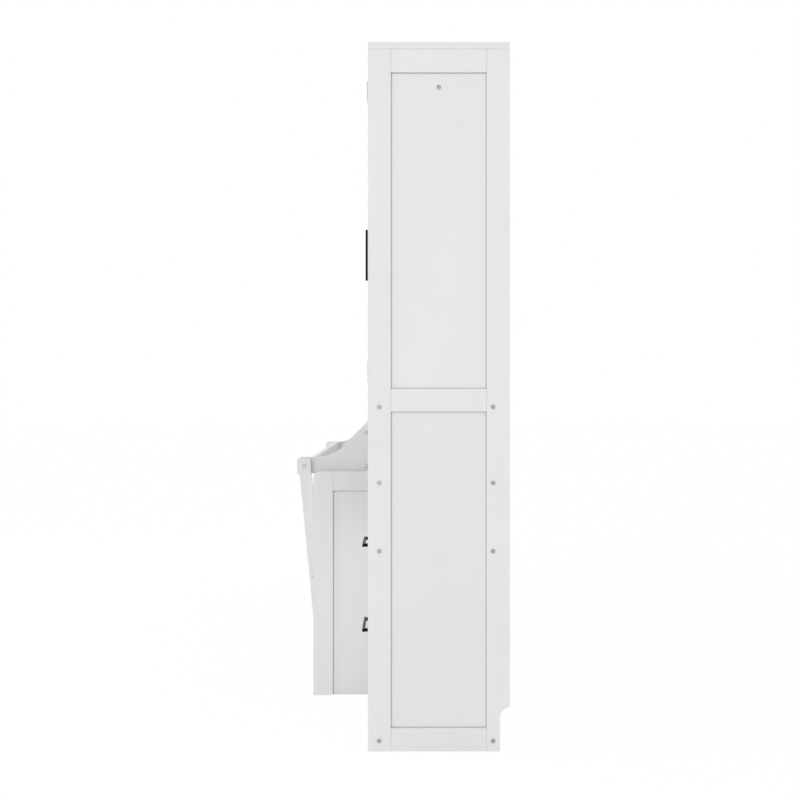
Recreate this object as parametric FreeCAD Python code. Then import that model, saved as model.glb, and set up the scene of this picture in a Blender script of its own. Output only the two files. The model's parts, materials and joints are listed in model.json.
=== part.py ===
import FreeCAD, Part
import math
import os

# A wall bed between two tall cabinets. The bed stands upright at rest and folds down about a pivot
# near its head. A shallow ledge hangs on the bed's face and stays level on a pair of leaning arms.
# Frame: X across the room, +Y towards the wall, +Z up, origin on the floor under the middle.
# Depths are measured from the wall into the room and turned to Y by the function at().

# Driving dimensions, millimetres and degrees
cabinet_height = 2150.0
cabinet_depth = 430.0
cabinet_width = 580.0
bay_width = 1500.0
top_thickness = 21.0
board_thickness = 18.0
frame_thickness = 22.0
frame_member = 70.0
panel_recess = 8.0
panel_groove = 2.0
panel_tongue = 12.0
back_thickness = 6.0
back_inset = 6.0
slide_gap = 0.3
pin_clearance = 0.08
edge_tolerance = 0.01

# Skirting notch at the back of every board that stands on the floor
notch_depth = 30.0
notch_height = 133.0

# Levels of the fixed boards in a cabinet, at the middle of each board
closet_floor_level = 1044.0
niche_shelf_level = 814.0
drawer_cover_level = 607.0
plinth_height = 52.0
plinth_set_back = 25.0
niche_shelf_set_back = 4.0
top_rail_height = 24.0
rail_drop = 134.5
rail_radius = 12.5
rail_socket_radius = 18.0
rail_socket_length = 6.0

# Doors and drawers are inset between the cabinet sides, with the drawers named from the lowest
drawer_names = ("lower", "upper")
front_gap = 2.5
front_thickness = 20.0
door_gap = 3.0
door_panel_recess = 7.0
door_panel_thickness = 12.0
drawer_side = 12.0
drawer_bottom = 6.0
drawer_wall_height = 180.0
drawer_wall_lift = 30.0
drawer_side_gap = 3.0
drawer_back_room = 50.0
drawer_bottom_lift = 6.0
runner_width = 20.0
runner_height = 20.0
runner_back = 60.0

# Bar handles
handle_length = 180.0
handle_centres = 160.0
handle_projection = 25.0
handle_bar = 8.0
handle_width = 10.0
handle_round = 1.5
drawer_handle_drop = 24.0

# Butt hinges on the doors
hinge_height = 66.0
hinge_end_distance = 97.0
hinge_barrel_radius = 2.0
hinge_barrel_lift = 0.2
hinge_pin_radius = 1.0
hinge_leaf = 0.9
hinge_leaf_depth = 28.0
hinge_knuckle_gap = 0.4

# Base sides, which carry the pivots
base_height = 807.0
base_projection = 215.0
base_corner_radius = 22.0
toe_rail_height = 70.0
toe_rail_set_back = 42.0
wall_rail_height = 100.0
wall_rail_top_drop = 69.0
lower_wall_rail_lift = 7.0
wall_screw_radius = 3.0
wall_screw_span = 812.8
wall_screw_rows = 50.0

# Connecting bolts through the cabinet sides and the ledge
bolt_head_radius = 6.5
bolt_head_height = 2.5
bolt_socket_radius = 2.6
bolt_socket_depth = 1.6
bolt_shank_radius = 3.5
bolt_grip = 30.0
bolt_front_distance = 34.0
bolt_back_distance = 51.0
plinth_bolt_level = 32.0

# Bed frame and face
bed_side_room = 38.0
bed_face_set_back = 6.0
bed_face_thickness = 18.0
bed_rail_depth = 70.0
bed_head_level = 110.0
bed_top_margin = 10.0
wide_face_level = 900.0
wide_face_gap = 6.0
face_member = 90.0
face_panel_recess = 7.0
face_panel_thickness = 10.0
face_columns = 3
slat_width = 70.0
slat_thickness = 12.0
slat_count = 13
slat_end_margin = 20.0
fascia_height = 61.0
fascia_gap = 8.0

# Ledge and its arms
ledge_pivot_level = 826.0
arm_foot_level = 200.0
arm_lean = 5.48
arm_reach = 37.0
arm_thickness = 16.0
arm_width = 42.0
arm_set_back = 3.0
arm_gap = 3.0
arm_head_width = 49.0
arm_head_height = 60.0
arm_head_drop = 3.0
arm_head_round = 8.0
arm_bar_share = 0.355
arm_bar_height = 40.0
ledge_arm_gap = 9.0
ledge_board = 20.0
ledge_bottom_drop = 29.0
ledge_lip_rise = 30.0
ledge_front_overhang = 18.0
ledge_front_round = 8.0
ledge_lip_set_back = 25.0
ledge_cove_radius = 140.0
ledge_cove_set_back = 42.0
ledge_slope = 45.0
ledge_stand_off = 22.0
ledge_shelf_lift = 3.0
ledge_back_drop = 22.0
ledge_axis_stand_off = 12.0
ledge_axis_rise = 5.0
ledge_lower_bolt_drop = 3.0
ledge_upper_bolt_rise = 121.0
ledge_hinge_spread = 520.0
ledge_barrel_radius = 7.0
ledge_pin_radius = 3.0
ledge_knuckle = 29.0
ledge_end_knuckle = 20.0
ledge_knuckle_gap = 0.5
ledge_plate = 3.0
ledge_plate_height = 80.0
ledge_strap_height = 110.0
pivot_bolt_radius = 4.0
pivot_collar_radius = 8.0
arm_pin_radius = 5.0
arm_pin_collar_radius = 10.0

# Bed pivot and gas struts
bed_pin_radius = 10.0
bed_pin_plate = 5.0
bed_pin_plate_size = 100.0
bush_plate = 6.0
bush_plate_length = 100.0
bush_plate_width = 60.0
strut_radius = 7.5
strut_wall = 1.2
strut_rod_radius = 4.0
strut_piston_length = 14.0
strut_gland_length = 8.0
strut_inner_gap = 0.06
strut_foot_reach = 94.0
strut_foot_level = 60.0
strut_head_rise = 400.0
strut_head_margin = 6.0
strut_side_gap = 2.5
strut_tube_start = 12.0
strut_tube_end = 370.0
strut_eye_radius = 9.0
strut_eye_width = 10.0
strut_stud_radius = 4.0
strut_plate = 4.0
strut_plate_size = 36.0

# Drop legs on the bed's face
leg_spread = 580.0
leg_width = 40.0
leg_thickness = 19.0
leg_axis_drop = 70.0
leg_floor_gap = 2.0
leg_base_plate = 2.5
leg_face_gap = 0.5
leg_ear = 3.0
leg_ear_gap = 0.5
leg_ear_half_height = 14.0
leg_pin_radius = 3.0
leg_bar_height = 40.0

# Places worked out from the driving dimensions
half_bay = bay_width / 2
cabinet_outside = half_bay + cabinet_width
inner_face = half_bay + board_thickness
outer_face = cabinet_outside - frame_thickness
side_top = cabinet_height - top_thickness
shelf_back = back_inset + back_thickness
plinth_front = cabinet_depth - plinth_set_back
plinth_back = bolt_back_distance + board_thickness / 2
front_back = cabinet_depth - front_thickness
drawer_cover_top = drawer_cover_level + board_thickness / 2
bottom_board_top = plinth_height + board_thickness
drawer_pitch = (drawer_cover_top + door_gap - bottom_board_top) / len(drawer_names)
drawer_height = drawer_pitch - door_gap
door_bottom = closet_floor_level + board_thickness / 2 + door_gap
door_top = side_top - top_rail_height - door_gap
door_inner = inner_face + front_gap
door_outer = outer_face - front_gap
hinge_axis_x = outer_face - front_gap / 2
hinge_axis_depth = cabinet_depth + hinge_barrel_lift + hinge_barrel_radius

base_inner = half_bay - frame_thickness
base_depth = cabinet_depth + base_projection
bed_face = cabinet_depth - bed_face_set_back
bed_rail_front = bed_face - bed_face_thickness
bed_rail_back = bed_rail_front - bed_rail_depth
bed_half = base_inner - bed_side_room
bed_top_level = side_top - fascia_height - fascia_gap
wide_half = half_bay - wide_face_gap

arm_outer = base_inner - arm_gap
arm_inner = arm_outer - arm_thickness
ledge_outer = arm_inner - ledge_arm_gap
ledge_inner = ledge_outer - ledge_board
ledge_pivot_depth = base_depth + arm_reach
arm_rise = ledge_pivot_level - arm_foot_level
arm_tilt = arm_rise * math.tan(math.radians(arm_lean))
arm_foot_depth = ledge_pivot_depth - arm_tilt
ledge_back = bed_face + ledge_stand_off
ledge_lip_top = ledge_pivot_level + ledge_lip_rise
ledge_bottom = ledge_pivot_level - ledge_bottom_drop
cove_start = ledge_pivot_depth - ledge_cove_set_back
slope_turn = math.radians(ledge_slope)
cove_end = cove_start - ledge_cove_radius * math.sin(slope_turn)
cove_end_level = ledge_lip_top + ledge_cove_radius * (1 - math.cos(slope_turn))
ledge_top = cove_end_level + (cove_end - ledge_back) * math.tan(slope_turn)
ledge_axis_depth = bed_face + ledge_axis_stand_off
ledge_axis_level = ledge_top + ledge_axis_rise
bed_pivot_depth = ledge_axis_depth - arm_tilt
bed_pivot_level = ledge_axis_level - arm_rise

strut_middle = bed_half + strut_side_gap + strut_radius
strut_foot_depth = bed_pivot_depth + strut_foot_reach
strut_head_depth = bed_rail_front - strut_head_margin
strut_head_level = bed_pivot_level + strut_head_rise
strut_length = math.hypot(strut_head_depth - strut_foot_depth, strut_head_level - strut_foot_level)

leg_axis_depth = bed_face + leg_base_plate + leg_face_gap + leg_thickness / 2
leg_axis_level = bed_top_level - leg_axis_drop
leg_length = bed_pivot_level - (leg_axis_depth - bed_pivot_depth) - leg_floor_gap

overall_depth = ledge_pivot_depth + arm_head_width / 2
wall_y = overall_depth / 2


def at(depth):
    """Y of a depth measured from the wall."""
    return wall_y - depth


def point(x, depth, level):
    return FreeCAD.Vector(x, at(depth), level)


def block(x, depth, level):
    """Box from pairs of limits across, from the wall and above the floor."""
    corner = FreeCAD.Vector(min(x), at(max(depth)), min(level))
    return Part.makeBox(abs(x[1] - x[0]), abs(depth[1] - depth[0]), abs(level[1] - level[0]), corner)


def bar_x(radius, x, depth, level):
    """Round bar along X between two limits."""
    start = point(min(x), depth, level)
    return Part.makeCylinder(radius, abs(x[1] - x[0]), start, FreeCAD.Vector(1, 0, 0))


def prism_x(edges, x):
    """Solid with a closed outline of edges drawn at x[0] and pushed to x[1]."""
    face = Part.Face(Part.Wire(edges))
    return face.extrude(FreeCAD.Vector(x[1] - x[0], 0, 0))


def join(first, others):
    return first.fuse(others).removeSplitter()


def mirrored(shape):
    return shape.mirror(FreeCAD.Vector(0, 0, 0), FreeCAD.Vector(1, 0, 0))


def pair(shapes):
    """The right-hand shapes and their left-hand mirror images."""
    return shapes + [mirrored(shape) for shape in shapes]


def cut_notch(board, x):
    """Clear the skirting notch, with its round top, from a standing board."""
    straight = notch_height - notch_depth
    foot = block(x, (0, notch_depth), (0, straight))
    crown = bar_x(notch_depth, x, 0, straight)
    return board.cut(join(foot, [crown]))


def framed_panel(x_face, x_back, depth, level):
    """Recessed panel whose field stands clear of its frame by a groove, over a full-size tongue."""
    outward = 1 if x_face > x_back else -1
    x_field = x_face - outward * panel_recess
    x_tongue = x_back + outward * panel_tongue
    tongue = block((x_back, x_tongue), depth, level)
    field_depth = (min(depth) + panel_groove, max(depth) - panel_groove)
    field_level = (min(level) + panel_groove, max(level) - panel_groove)
    field = block((x_tongue, x_field), field_depth, field_level)
    return join(tongue, [field])


# Cabinets, modelled on the right

def outer_side():
    x = (outer_face, cabinet_outside)
    front = block(x, (cabinet_depth - frame_member, cabinet_depth), (0, side_top))
    back = cut_notch(block(x, (0, frame_member), (0, side_top)), x)
    inside = (frame_member, cabinet_depth - frame_member)
    middle = side_top / 2
    half = frame_member / 2
    bands = [(0, frame_member), (middle - half, middle + half), (side_top - frame_member, side_top)]
    rails = [block(x, inside, band) for band in bands]
    panels = []
    for lower, upper in zip(bands, bands[1:]):
        panels.append(framed_panel(cabinet_outside, outer_face, inside, (lower[1], upper[0])))
    return [front, back] + rails + panels


def inner_side():
    x = (half_bay, inner_face)
    return [cut_notch(block(x, (0, cabinet_depth), (0, side_top)), x)]


def fixed_shelves():
    x = (inner_face, outer_face)
    shelves = []
    fronts = {
        closet_floor_level: cabinet_depth,
        niche_shelf_level: cabinet_depth - niche_shelf_set_back,
        drawer_cover_level: front_back - slide_gap,
    }
    for level, front in fronts.items():
        band = (level - board_thickness / 2, level + board_thickness / 2)
        shelves.append(block(x, (shelf_back, front), band))
    bottom_front = front_back - slide_gap
    shelves.append(block(x, (notch_depth, bottom_front), (plinth_height, bottom_board_top)))
    return shelves


def front_rails():
    x = (inner_face, outer_face)
    toe = block(x, (plinth_front - board_thickness, plinth_front), (0, plinth_height))
    heel = block(x, (plinth_back - board_thickness, plinth_back), (0, plinth_height))
    head = block(x, (front_back, cabinet_depth), (side_top - top_rail_height, side_top))
    return [toe, heel, head]


def back_panel():
    x = (inner_face, outer_face)
    return block(x, (back_inset, shelf_back), (notch_height, side_top))


def clothes_rail():
    depth = cabinet_depth / 2
    level = cabinet_height - rail_drop
    inner = (inner_face, inner_face + rail_socket_length)
    outer = (outer_face - rail_socket_length, outer_face)
    rod = bar_x(rail_radius, (inner[1], outer[0]), depth, level)
    sockets = [bar_x(rail_socket_radius, x, depth, level) for x in (inner, outer)]
    return [rod] + sockets


def hexagon(x, depth, level, radius):
    """Edges of a six-sided outline across X, from its corner radius."""
    corners = []
    for step in range(7):
        turn = math.radians(60 * step)
        corners.append(point(x, depth + radius * math.cos(turn), level + radius * math.sin(turn)))
    return Part.makePolygon(corners).Edges


def bolt(x_seat, depth, level, grip):
    """Bolt driven inwards along X from a seat, with a hexagon socket in its round head."""
    head = bar_x(bolt_head_radius, (x_seat, x_seat + bolt_head_height), depth, level)
    shank = bar_x(bolt_shank_radius, (x_seat - grip, x_seat), depth, level)
    face_x = x_seat + bolt_head_height
    socket_x = (face_x - bolt_socket_depth, face_x)
    socket = prism_x(hexagon(socket_x[0], depth, level, bolt_socket_radius), socket_x)
    return join(head, [shank]).cut(socket)


def carcass_bolts():
    """Bolts into the ends of the boards at each level, and one in the panel that holds the clothes rail."""
    panel_face = cabinet_outside - panel_recess
    rail_grip = panel_face - outer_face + rail_socket_length / 2
    bolts = [bolt(panel_face, cabinet_depth / 2, cabinet_height - rail_drop, rail_grip)]
    for depth in (bolt_back_distance, cabinet_depth - bolt_front_distance):
        for level in (plinth_bolt_level, drawer_cover_level, niche_shelf_level, closet_floor_level):
            bolts.append(bolt(cabinet_outside, depth, level, frame_thickness + bolt_grip))
    return bolts


# Doors

def door():
    depth = (front_back, cabinet_depth)
    left = (door_inner, door_inner + frame_member)
    right = (door_outer - frame_member, door_outer)
    stiles = [block(x, depth, (door_bottom, door_top)) for x in (left, right)]
    across = (left[1], right[0])
    bands = [(door_bottom, door_bottom + frame_member), (door_top - frame_member, door_top)]
    rails = [block(across, depth, band) for band in bands]
    panel_front = cabinet_depth - door_panel_recess
    panel_depth = (panel_front - door_panel_thickness, panel_front)
    panel = block(across, panel_depth, (bands[0][1], bands[1][0]))
    return stiles + rails + [panel]


def hinge_middles():
    return (door_bottom + hinge_end_distance, door_top - hinge_end_distance)


def barrel(low, high):
    start = point(hinge_axis_x, hinge_axis_depth, low)
    return Part.makeCylinder(hinge_barrel_radius, high - low, start)


def leaf(x_plate, middle, knuckles):
    """Leaf plate with a tab running into each of its knuckles."""
    low = middle - hinge_height / 2
    plate_front = hinge_axis_depth - hinge_barrel_radius - pin_clearance
    plate = block(x_plate, (plate_front - hinge_leaf_depth, plate_front), (low, low + hinge_height))
    pieces = []
    for band in knuckles:
        pieces.append(barrel(*band))
        pieces.append(block(x_plate, (plate_front, hinge_axis_depth), band))
    return join(plate, pieces)


def hinge_bands(middle):
    """Levels of the case's two end knuckles and of the door's middle one."""
    third = hinge_height / 3
    low = middle - hinge_height / 2
    ends = [(low, low + third - hinge_knuckle_gap), (low + 2 * third + hinge_knuckle_gap, low + hinge_height)]
    return ends, (low + third, low + 2 * third)


def hinge_case_leaves():
    leaves = []
    for middle in hinge_middles():
        ends, _ = hinge_bands(middle)
        start = point(hinge_axis_x, hinge_axis_depth, ends[0][0])
        pin = Part.makeCylinder(hinge_pin_radius, hinge_height, start)
        x_plate = (outer_face - hinge_leaf, outer_face)
        leaves.append(join(leaf(x_plate, middle, ends), [pin]))
    return leaves


def hinge_door_leaves():
    leaves = []
    for middle in hinge_middles():
        _, band = hinge_bands(middle)
        start = point(hinge_axis_x, hinge_axis_depth, band[0])
        bore = Part.makeCylinder(hinge_pin_radius + pin_clearance, band[1] - band[0], start)
        x_plate = (door_outer, door_outer + hinge_leaf)
        leaves.append(leaf(x_plate, middle, [band]).cut(bore))
    return leaves


def handle(x_middle, level, upright):
    """Bar handle on two posts, upright or level, on the face of a door or drawer."""
    bar_depth = (cabinet_depth + handle_projection - handle_bar, cabinet_depth + handle_projection)
    post_depth = (cabinet_depth, bar_depth[1] - handle_bar / 2)
    long_half = handle_length / 2
    wide_half_bar = handle_width / 2

    def piece(middle, half, depth):
        along = (middle - half, middle + half)
        wide = (-wide_half_bar, wide_half_bar)
        x_run, z_run = (wide, along) if upright else (along, wide)
        x = (x_middle + x_run[0], x_middle + x_run[1])
        return block(x, depth, (level + z_run[0], level + z_run[1]))

    bar = piece(0, long_half, bar_depth)
    posts = [piece(side * handle_centres / 2, wide_half_bar, post_depth) for side in (-1, 1)]
    whole = join(bar, posts)
    front = at(bar_depth[1])
    rim = [edge for edge in whole.Edges if abs(edge.BoundBox.YMax - front) < edge_tolerance]
    return whole.makeFillet(handle_round, rim)


def door_handle():
    return [handle(door_inner + frame_member / 2, (door_bottom + door_top) / 2, True)]


# Drawers, counted from the lowest

def drawer_floor(index):
    return bottom_board_top + door_gap + index * drawer_pitch


def drawer_front(index):
    low = drawer_floor(index)
    return [block((door_inner, door_outer), (front_back, cabinet_depth), (low, low + drawer_height))]


def drawer_box(index):
    low = drawer_floor(index) + drawer_wall_lift
    high = low + drawer_wall_height
    x = (inner_face + drawer_side_gap, outer_face - drawer_side_gap)
    depth = (drawer_back_room, front_back)
    sides = [block((x[0], x[0] + drawer_side), depth, (low, high))]
    sides.append(block((x[1] - drawer_side, x[1]), depth, (low, high)))
    within = (x[0] + drawer_side, x[1] - drawer_side)
    rear = block(within, (depth[0], depth[0] + drawer_side), (low, high))
    fore = block(within, (depth[1] - drawer_side, depth[1]), (low, high))
    floor_low = low + drawer_bottom_lift
    floor_depth = (depth[0] + drawer_side, depth[1] - drawer_side)
    floor = block(within, floor_depth, (floor_low, floor_low + drawer_bottom))
    return sides + [rear, fore, floor]


def drawer_handle(index):
    top = drawer_floor(index) + drawer_height
    return [handle((inner_face + outer_face) / 2, top - drawer_handle_drop, False)]


def drawer_runners():
    runners = []
    for index in range(len(drawer_names)):
        top = drawer_floor(index) + drawer_wall_lift - slide_gap
        depth = (runner_back, front_back - slide_gap)
        level = (top - runner_height, top)
        runners.append(block((inner_face, inner_face + runner_width), depth, level))
        runners.append(block((outer_face - runner_width, outer_face), depth, level))
    return runners


# Fixed middle

def top_boards():
    depth = (0, cabinet_depth)
    level = (side_top, cabinet_height)
    spans = [(-cabinet_outside, -half_bay), (-half_bay, half_bay), (half_bay, cabinet_outside)]
    return [block(x, depth, level) for x in spans]


def bay_fascia():
    level = (bed_top_level + fascia_gap, side_top)
    return [block((-half_bay, half_bay), (cabinet_depth - frame_thickness, cabinet_depth), level)]


def base_side():
    x = (base_inner, half_bay)
    front = block(x, (base_depth - frame_member, base_depth), (0, base_height))
    corner = at(base_depth)
    nose = []
    for edge in front.Edges:
        box = edge.BoundBox
        if abs(box.YMax - corner) < edge_tolerance and abs(box.ZMin - base_height) < edge_tolerance:
            nose.append(edge)
    front = front.makeFillet(base_corner_radius, nose)
    back = cut_notch(block(x, (0, frame_member), (0, base_height)), x)
    inside = (frame_member, base_depth - frame_member)
    rail_low = base_height - frame_member
    rail = block(x, inside, (rail_low, base_height))
    panel = framed_panel(half_bay, base_inner, inside, (0, rail_low))
    return [front, back, rail, panel]


def cross_rails():
    high = side_top - wall_rail_top_drop
    upper = block((-half_bay, half_bay), (0, board_thickness), (high - wall_rail_height, high))
    middle = high - wall_rail_height / 2
    for x in (-wall_screw_span / 2, wall_screw_span / 2):
        for row in (-wall_screw_rows / 2, wall_screw_rows / 2):
            start = point(x, board_thickness, middle + row)
            hole = Part.makeCylinder(wall_screw_radius, board_thickness, start, FreeCAD.Vector(0, 1, 0))
            upper = upper.cut(hole)
    span = (-base_inner, base_inner)
    low = notch_height + lower_wall_rail_lift
    lower = block(span, (0, board_thickness), (low, low + wall_rail_height))
    heel = block(span, (plinth_back - board_thickness, plinth_back), (0, toe_rail_height))
    toe_front = base_depth - toe_rail_set_back
    toe = block(span, (toe_front - board_thickness, toe_front), (0, toe_rail_height))
    return [upper, lower, heel, toe]


def bed_pivot_pin():
    half = bed_pin_plate_size / 2
    plate_x = (base_inner - bed_pin_plate, base_inner)
    depth = (bed_pivot_depth - half, bed_pivot_depth + half)
    plate = block(plate_x, depth, (bed_pivot_level - half, bed_pivot_level + half))
    pin = bar_x(bed_pin_radius, (bed_half + slide_gap, base_inner), bed_pivot_depth, bed_pivot_level)
    return [join(plate, [pin])]


def arm_pivot_pin():
    reach = (arm_inner, base_inner)
    pin = bar_x(arm_pin_radius, reach, arm_foot_depth, arm_foot_level)
    collar_x = (arm_outer + slide_gap, base_inner)
    collar = bar_x(arm_pin_collar_radius, collar_x, arm_foot_depth, arm_foot_level)
    return [join(pin, [collar])]


def strut_foot_bracket():
    half = strut_plate_size / 2
    plate_x = (base_inner - strut_plate, base_inner)
    depth = (strut_foot_depth - half, strut_foot_depth + half)
    plate = block(plate_x, depth, (strut_foot_level - half, strut_foot_level + half))
    stud_x = (strut_middle - strut_eye_width / 2, base_inner)
    stud = bar_x(strut_stud_radius, stud_x, strut_foot_depth, strut_foot_level)
    return [join(plate, [stud])]


# Bed

def bed_frame_rails():
    depth = (bed_rail_back, bed_rail_front)
    top = bed_top_level - bed_top_margin
    side = frame_thickness
    rails = [block((bed_half - side, bed_half), depth, (bed_head_level, top))]
    rails.append(mirrored(rails[0]))
    across = (side - bed_half, bed_half - side)
    ends = [(bed_head_level, bed_head_level + side), (top - side, top)]
    rails += [block(across, depth, band) for band in ends]
    rails.append(block((-side / 2, side / 2), depth, (ends[0][1], ends[1][0])))
    return rails


def bed_slats():
    depth = (bed_rail_back - slat_thickness, bed_rail_back)
    first = bed_head_level + slat_end_margin
    last = bed_top_level - bed_top_margin - slat_end_margin - slat_width
    pitch = (last - first) / (slat_count - 1)
    slats = []
    for index in range(slat_count):
        low = first + index * pitch
        slats.append(block((-bed_half, bed_half), depth, (low, low + slat_width)))
    return slats


def face_columns_x():
    """Limits across of each panel column on the wide part of the bed's face."""
    inside = 2 * wide_half - (face_columns + 1) * face_member
    width = inside / face_columns
    columns = []
    for index in range(face_columns):
        start = -wide_half + face_member + index * (width + face_member)
        columns.append((start, start + width))
    return columns


def bed_face_frame():
    depth = (bed_rail_front, bed_face)
    narrow = block((-bed_half, bed_half), depth, (bed_head_level, wide_face_level))
    level = (wide_face_level, bed_top_level)
    stiles = [block((wide_half - face_member, wide_half), depth, level)]
    stiles.append(mirrored(stiles[0]))
    across = (face_member - wide_half, wide_half - face_member)
    low = (level[0], level[0] + face_member)
    high = (level[1] - face_member, level[1])
    rails = [block(across, depth, band) for band in (low, high)]
    muntins = []
    for column in face_columns_x()[:-1]:
        muntins.append(block((column[1], column[1] + face_member), depth, (low[1], high[0])))
    return [narrow] + stiles + rails + muntins


def bed_face_panels():
    front = bed_face - face_panel_recess
    depth = (front - face_panel_thickness, front)
    level = (wide_face_level + face_member, bed_top_level - face_member)
    return [block(x, depth, level) for x in face_columns_x()]


def bed_pivot_bush():
    x = (bed_half, bed_half + bush_plate)
    half_width = bush_plate_width / 2
    half_length = bush_plate_length / 2
    depth = (bed_pivot_depth - half_width, bed_pivot_depth + half_width)
    plate = block(x, depth, (bed_pivot_level - half_length, bed_pivot_level + half_length))
    return [plate.cut(bar_x(bed_pin_radius + pin_clearance, x, bed_pivot_depth, bed_pivot_level))]


def strut_head_bracket():
    half = strut_plate_size / 2
    x = (bed_half, strut_middle - strut_eye_width / 2 - slide_gap)
    depth = (strut_head_depth - half, bed_rail_front)
    return [block(x, depth, (strut_head_level - half, strut_head_level + half))]


# Gas struts, drawn upright and then leaned onto the line between their two ends

def leaned(shape):
    lean = math.atan2(strut_head_depth - strut_foot_depth, strut_head_level - strut_foot_level)
    foot = point(strut_middle, strut_foot_depth, strut_foot_level)
    shape.translate(foot)
    shape.rotate(foot, FreeCAD.Vector(1, 0, 0), math.degrees(lean))
    return shape


def upright_bar(radius, low, high):
    return Part.makeCylinder(radius, high - low, FreeCAD.Vector(0, 0, low))


def strut_eye(radius, level):
    start = FreeCAD.Vector(-strut_eye_width / 2, 0, level)
    return Part.makeCylinder(radius, strut_eye_width, start, FreeCAD.Vector(1, 0, 0))


def strut_cylinder():
    tube = upright_bar(strut_radius, strut_tube_start, strut_tube_end)
    bore_top = strut_tube_end - strut_gland_length
    bore = upright_bar(strut_radius - strut_wall, strut_tube_start + strut_gland_length, bore_top)
    neck = upright_bar(strut_rod_radius, 0, strut_tube_start)
    throat = upright_bar(strut_rod_radius + strut_inner_gap, bore_top, strut_tube_end)
    body = join(tube, [neck, strut_eye(strut_eye_radius, 0)]).cut(bore).cut(throat)
    stud_hole = strut_eye(strut_stud_radius + pin_clearance, 0)
    return [leaned(body.cut(stud_hole))]


def strut_rod():
    piston_top = strut_tube_end - strut_gland_length - slide_gap
    piston_low = piston_top - strut_piston_length
    piston = upright_bar(strut_radius - strut_wall - strut_inner_gap, piston_low, piston_top)
    rod = upright_bar(strut_rod_radius, piston_low, strut_length)
    return [leaned(join(piston, [rod, strut_eye(strut_eye_radius, strut_length)]))]


# Ledge

def ledge_side():
    """Side board with a flat front, a cove and a slope that climbs to the back."""
    x = ledge_inner
    front = ledge_pivot_depth + ledge_front_overhang
    curve = ledge_front_round
    half_turn = slope_turn / 2
    middle_depth = cove_start - ledge_cove_radius * math.sin(half_turn)
    middle_level = ledge_lip_top + ledge_cove_radius * (1 - math.cos(half_turn))
    nose = curve * (1 - math.sqrt(0.5))
    lower_front = point(x, front, ledge_bottom)
    upper_front = point(x, front, ledge_lip_top - curve)
    nose_middle = point(x, front - nose, ledge_lip_top - nose)
    flat_front = point(x, front - curve, ledge_lip_top)
    flat_back = point(x, cove_start, ledge_lip_top)
    cove_middle = point(x, middle_depth, middle_level)
    slope_foot = point(x, cove_end, cove_end_level)
    slope_head = point(x, ledge_back, ledge_top)
    lower_back = point(x, ledge_back, ledge_bottom)
    edges = [
        Part.LineSegment(lower_back, lower_front).toShape(),
        Part.LineSegment(lower_front, upper_front).toShape(),
        Part.Arc(upper_front, nose_middle, flat_front).toShape(),
        Part.LineSegment(flat_front, flat_back).toShape(),
        Part.Arc(flat_back, cove_middle, slope_foot).toShape(),
        Part.LineSegment(slope_foot, slope_head).toShape(),
        Part.LineSegment(slope_head, lower_back).toShape(),
    ]
    board = prism_x(edges, (ledge_inner, ledge_outer))
    hole = (ledge_inner, ledge_outer)
    return board.cut(bar_x(pivot_bolt_radius, hole, ledge_pivot_depth, ledge_pivot_level))


def ledge_boards():
    span = (-ledge_inner, ledge_inner)
    lip_front = ledge_pivot_depth - ledge_lip_set_back
    lip_back = lip_front - board_thickness
    shelf_low = ledge_bottom + ledge_shelf_lift
    lip = block(span, (lip_back, lip_front), (shelf_low, ledge_lip_top))
    back_front = ledge_back + ledge_board
    back = block(span, (ledge_back, back_front), (shelf_low, ledge_top - ledge_back_drop))
    shelf = block(span, (back_front, lip_back), (shelf_low, shelf_low + board_thickness))
    return pair([ledge_side()]) + [lip, back, shelf]


def ledge_bolts():
    """Pivot bolts through the arms, and the bolts that hold the ledge's back board."""
    head_x = arm_outer + slide_gap
    pivot = bolt(head_x, ledge_pivot_depth, ledge_pivot_level, bolt_shank_radius)
    shaft = bar_x(pivot_bolt_radius, (ledge_inner, head_x), ledge_pivot_depth, ledge_pivot_level)
    collar_x = (ledge_outer, arm_inner - slide_gap)
    collar = bar_x(pivot_collar_radius, collar_x, ledge_pivot_depth, ledge_pivot_level)
    bolts = [join(pivot, [shaft, collar])]
    back_middle = ledge_back + ledge_board / 2
    for rise in (-ledge_lower_bolt_drop, ledge_upper_bolt_rise):
        bolts.append(bolt(ledge_outer, back_middle, ledge_pivot_level + rise, ledge_board + bolt_grip))
    return pair(bolts)


def ledge_hinge_places():
    return (-ledge_hinge_spread, 0, ledge_hinge_spread)


def axis_bar(radius, x):
    return bar_x(radius, x, ledge_axis_depth, ledge_axis_level)


def ledge_hinge_lugs():
    """Plates on the bed's face, each with two knuckles and the pin."""
    half = ledge_knuckle / 2 + ledge_knuckle_gap
    outer = half + ledge_end_knuckle
    lugs = []
    for middle in ledge_hinge_places():
        x = (middle - outer, middle + outer)
        plate_depth = (bed_face, bed_face + ledge_plate)
        plate = block(x, plate_depth, (ledge_axis_level - ledge_plate_height, ledge_axis_level))
        pieces = [axis_bar(ledge_pin_radius, x)]
        for knuckle in ((middle - outer, middle - half), (middle + half, middle + outer)):
            pieces.append(axis_bar(ledge_barrel_radius, knuckle))
            web_level = (ledge_axis_level - ledge_barrel_radius, ledge_axis_level)
            web_depth = (bed_face + ledge_plate, ledge_axis_depth)
            pieces.append(block(knuckle, web_depth, web_level))
        lugs.append(join(plate, pieces))
    return lugs


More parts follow.
